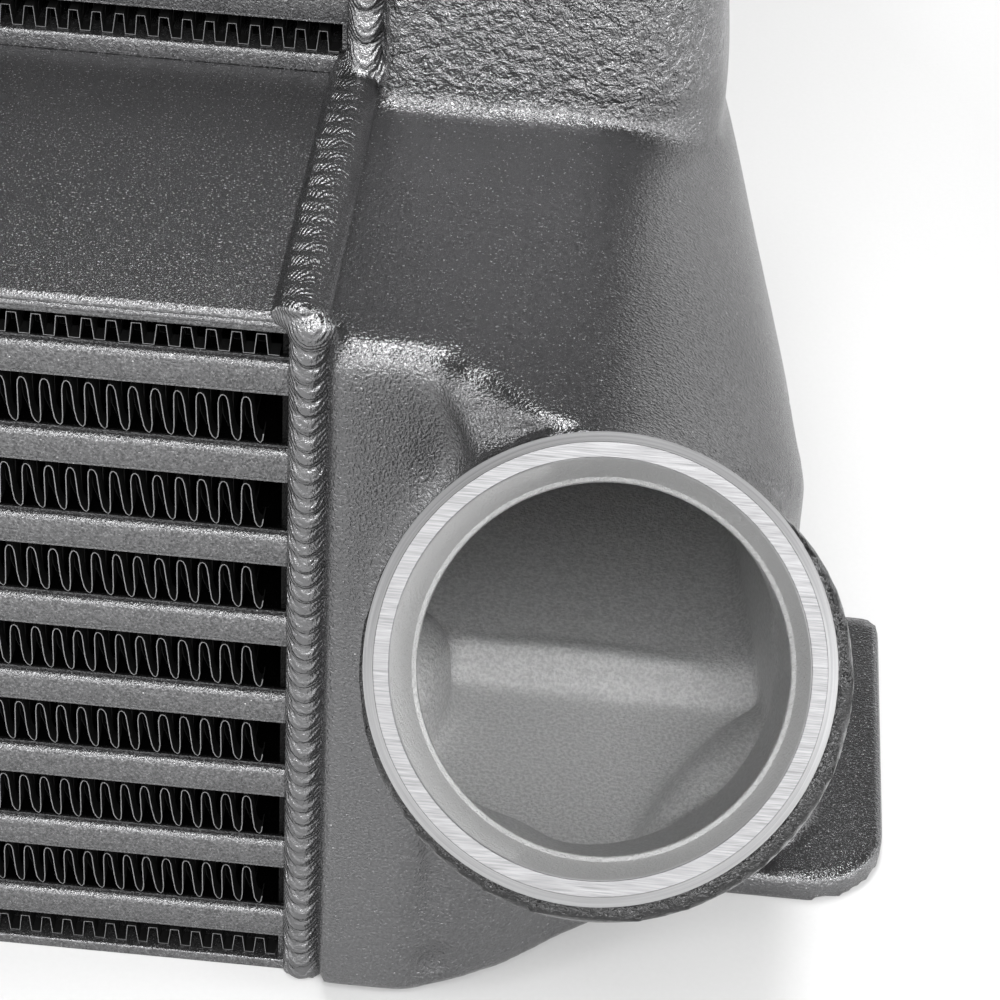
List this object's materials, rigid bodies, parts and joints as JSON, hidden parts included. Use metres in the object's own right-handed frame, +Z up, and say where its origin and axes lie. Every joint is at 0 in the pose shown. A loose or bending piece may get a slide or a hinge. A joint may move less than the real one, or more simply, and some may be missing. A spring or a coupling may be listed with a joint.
{
  "type": "intercooler",
  "caption": "Stepped air-to-air intercooler with a brazed bar-and-plate core and cast end tanks, each with a round neck that faces forwards and up",
  "frame": {"origin": "On the resting plane, under the middle of the lower, deep core block", "axes": "+X along the core from the left tank to the right one, -Y the side that the necks face, +Z up"},
  "size_m": [0.736, 0.2873, 0.229],
  "materials": {
    "coated_core": "satin grey coating on brazed aluminium bar and sheet",
    "coated_casting": "satin dark grey coating on sand-cast aluminium, machined bare at the neck's end",
    "coated_weld": "satin grey coating on a rippled weld bead",
    "fin_sheet": "thin folded aluminium sheet, part coated",
    "turbulator_sheet": "bare folded aluminium sheet"
  },
  "bodies": {
    "root": {"bottom_plate": "coated_core", "ledge_plate": "coated_core", "left_end_tank": "coated_casting", "left_weld_bead": "coated_weld", "lower_fin_1": "fin_sheet", "lower_fin_2": "fin_sheet", "lower_fin_3": "fin_sheet", "lower_fin_4": "fin_sheet", "lower_fin_5": "fin_sheet", "lower_fin_6": "fin_sheet", "lower_fin_7": "fin_sheet", "lower_fin_8": "fin_sheet", "lower_fin_9": "fin_sheet", "lower_tube_1": "coated_core", "lower_tube_2": "coated_core", "lower_tube_3": "coated_core", "lower_tube_4": "coated_core", "lower_tube_5": "coated_core", "lower_tube_6": "coated_core", "lower_tube_7": "coated_core", "lower_tube_8": "coated_core", "lower_turbulator_1": "turbulator_sheet", "lower_turbulator_2": "turbulator_sheet", "lower_turbulator_3": "turbulator_sheet", "lower_turbulator_4": "turbulator_sheet", "lower_turbulator_5": "turbulator_sheet", "lower_turbulator_6": "turbulator_sheet", "lower_turbulator_7": "turbulator_sheet", "lower_turbulator_8": "turbulator_sheet", "right_end_tank": "coated_casting", "right_weld_bead": "coated_weld", "seam_plate": "coated_core", "top_plate": "coated_core", "upper_fin_1": "fin_sheet", "upper_fin_2": "fin_sheet", "upper_fin_3": "fin_sheet", "upper_fin_4": "fin_sheet", "upper_fin_5": "fin_sheet", "upper_tube_1": "coated_core", "upper_tube_2": "coated_core", "upper_tube_3": "coated_core", "upper_tube_4": "coated_core", "upper_turbulator_1": "turbulator_sheet", "upper_turbulator_2": "turbulator_sheet", "upper_turbulator_3": "turbulator_sheet", "upper_turbulator_4": "turbulator_sheet"}
  },
  "joints": []
}
